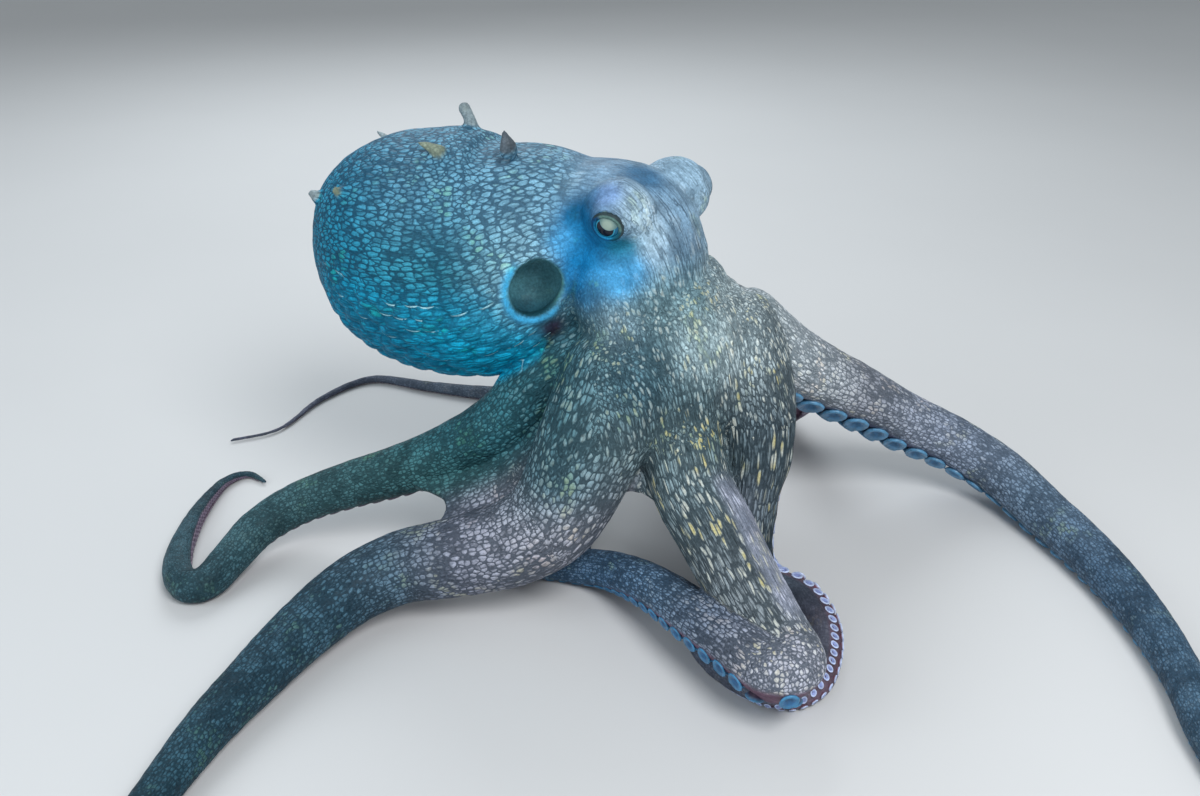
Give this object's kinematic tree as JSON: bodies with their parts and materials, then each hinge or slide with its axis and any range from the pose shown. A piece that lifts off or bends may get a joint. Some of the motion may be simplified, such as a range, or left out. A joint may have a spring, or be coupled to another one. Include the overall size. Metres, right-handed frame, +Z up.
{
  "type": "octopus",
  "caption": "Life-size still model of a common octopus resting on the floor: bulbous mantle, raised head and arms spread, curled and folded round a central web.",
  "frame": {"origin": "on the floor, at the centre of the footprint's box", "axes": "+Z up; -X towards the rear end of the mantle, which points left in a view along +Y; +X along the longest side of the footprint"},
  "size_m": [0.6262, 0.6048, 0.2227],
  "materials": {
    "skin": "moist soft skin, mottled grey-green with a fine dark net, satin",
    "eye": "wet glossy eye, pale yellow with a dark slit pupil",
    "funnel": "smooth moist skin, satin"
  },
  "bodies": {
    "root": {"mantle": "skin", "head": "skin", "crown": "skin", "arm_r1_1": "skin", "arm_r1_2": "skin", "arm_r1_3": "skin", "arm_r1_4": "skin", "arm_r2_1": "skin", "arm_r2_2": "skin", "arm_r2_3": "skin", "arm_r2_4": "skin", "arm_r3_1": "skin", "arm_r3_2": "skin", "arm_r3_3": "skin", "arm_r3_4": "skin", "arm_r4_1": "skin", "arm_r4_2": "skin", "arm_r4_3": "skin", "arm_r4_4": "skin", "arm_l1_1": "skin", "arm_l1_2": "skin", "arm_l1_3": "skin", "arm_l1_4": "skin", "arm_l2_1": "skin", "arm_l2_2": "skin", "arm_l2_3": "skin", "arm_l2_4": "skin", "arm_l3_1": "skin", "arm_l3_2": "skin", "arm_l3_3": "skin", "arm_l3_4": "skin", "arm_l4_1": "skin", "arm_l4_2": "skin", "arm_l4_3": "skin", "arm_l4_4": "skin", "funnel": "funnel", "eye_right": "eye", "eye_left": "eye"}
  },
  "joints": []
}
